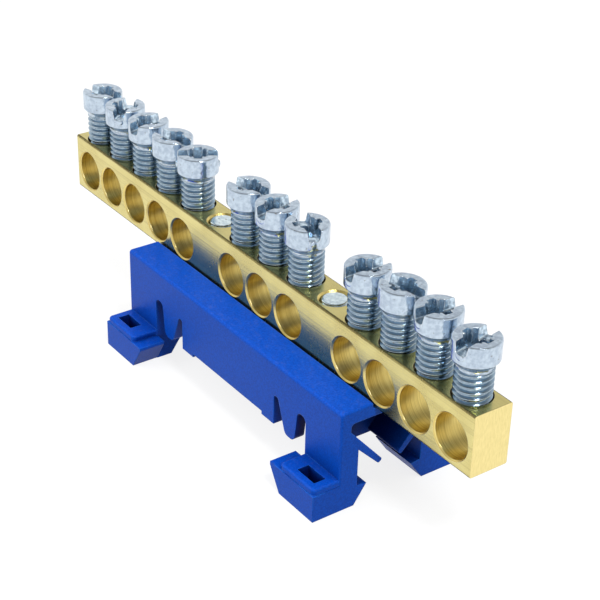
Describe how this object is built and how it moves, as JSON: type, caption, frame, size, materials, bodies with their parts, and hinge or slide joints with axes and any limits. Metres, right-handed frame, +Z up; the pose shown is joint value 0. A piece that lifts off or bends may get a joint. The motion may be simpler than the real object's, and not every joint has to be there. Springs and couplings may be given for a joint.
{
  "type": "neutral terminal bar",
  "caption": "Brass terminal bar with wire holes and raised clamp screws, on a blue moulded bracket that clips to a mounting rail or a flat bar.",
  "frame": {"origin": "under the middle of the bar, on the surface that the feet stand on", "axes": "+X along the bar towards the end with four wire holes, +Y along the wires, +Z up"},
  "size_m": [0.097, 0.025, 0.0322],
  "materials": {
    "brass": "drawn, satin",
    "plated_screw": "bright zinc plating",
    "blue_plastic": "satin moulded"
  },
  "bodies": {
    "terminal_body": {"brass_bar": "brass", "fixing_screw_left": "plated_screw", "fixing_screw_right": "plated_screw", "rail_bracket": "blue_plastic"},
    "clamp_screw_01": {"clamp_screw_01": "plated_screw"},
    "clamp_screw_02": {"clamp_screw_02": "plated_screw"},
    "clamp_screw_03": {"clamp_screw_03": "plated_screw"},
    "clamp_screw_04": {"clamp_screw_04": "plated_screw"},
    "clamp_screw_05": {"clamp_screw_05": "plated_screw"},
    "clamp_screw_06": {"clamp_screw_06": "plated_screw"},
    "clamp_screw_07": {"clamp_screw_07": "plated_screw"},
    "clamp_screw_08": {"clamp_screw_08": "plated_screw"},
    "clamp_screw_09": {"clamp_screw_09": "plated_screw"},
    "clamp_screw_10": {"clamp_screw_10": "plated_screw"},
    "clamp_screw_11": {"clamp_screw_11": "plated_screw"},
    "clamp_screw_12": {"clamp_screw_12": "plated_screw"}
  },
  "joints": [
    {"name": "clamp_screw_01_travel", "type": "slide", "parent": "terminal_body", "child": "clamp_screw_01", "axis": [0, 0, -1], "range_m": [0, 0.00434]},
    {"name": "clamp_screw_02_travel", "type": "slide", "parent": "terminal_body", "child": "clamp_screw_02", "axis": [0, 0, -1], "range_m": [0, 0.0044]},
    {"name": "clamp_screw_03_travel", "type": "slide", "parent": "terminal_body", "child": "clamp_screw_03", "axis": [0, 0, -1], "range_m": [0, 0.0044]},
    {"name": "clamp_screw_04_travel", "type": "slide", "parent": "terminal_body", "child": "clamp_screw_04", "axis": [0, 0, -1], "range_m": [0, 0.0044]},
    {"name": "clamp_screw_05_travel", "type": "slide", "parent": "terminal_body", "child": "clamp_screw_05", "axis": [0, 0, -1], "range_m": [0, 0.00432]},
    {"name": "clamp_screw_06_travel", "type": "slide", "parent": "terminal_body", "child": "clamp_screw_06", "axis": [0, 0, -1], "range_m": [0, 0.00453]},
    {"name": "clamp_screw_07_travel", "type": "slide", "parent": "terminal_body", "child": "clamp_screw_07", "axis": [0, 0, -1], "range_m": [0, 0.00461]},
    {"name": "clamp_screw_08_travel", "type": "slide", "parent": "terminal_body", "child": "clamp_screw_08", "axis": [0, 0, -1], "range_m": [0, 0.00463]},
    {"name": "clamp_screw_09_travel", "type": "slide", "parent": "terminal_body", "child": "clamp_screw_09", "axis": [0, 0, -1], "range_m": [0, 0.00424]},
    {"name": "clamp_screw_10_travel", "type": "slide", "parent": "terminal_body", "child": "clamp_screw_10", "axis": [0, 0, -1], "range_m": [0, 0.00475]},
    {"name": "clamp_screw_11_travel", "type": "slide", "parent": "terminal_body", "child": "clamp_screw_11", "axis": [0, 0, -1], "range_m": [0, 0.00492]},
    {"name": "clamp_screw_12_travel", "type": "slide", "parent": "terminal_body", "child": "clamp_screw_12", "axis": [0, 0, -1], "range_m": [0, 0.00433]}
  ]
}
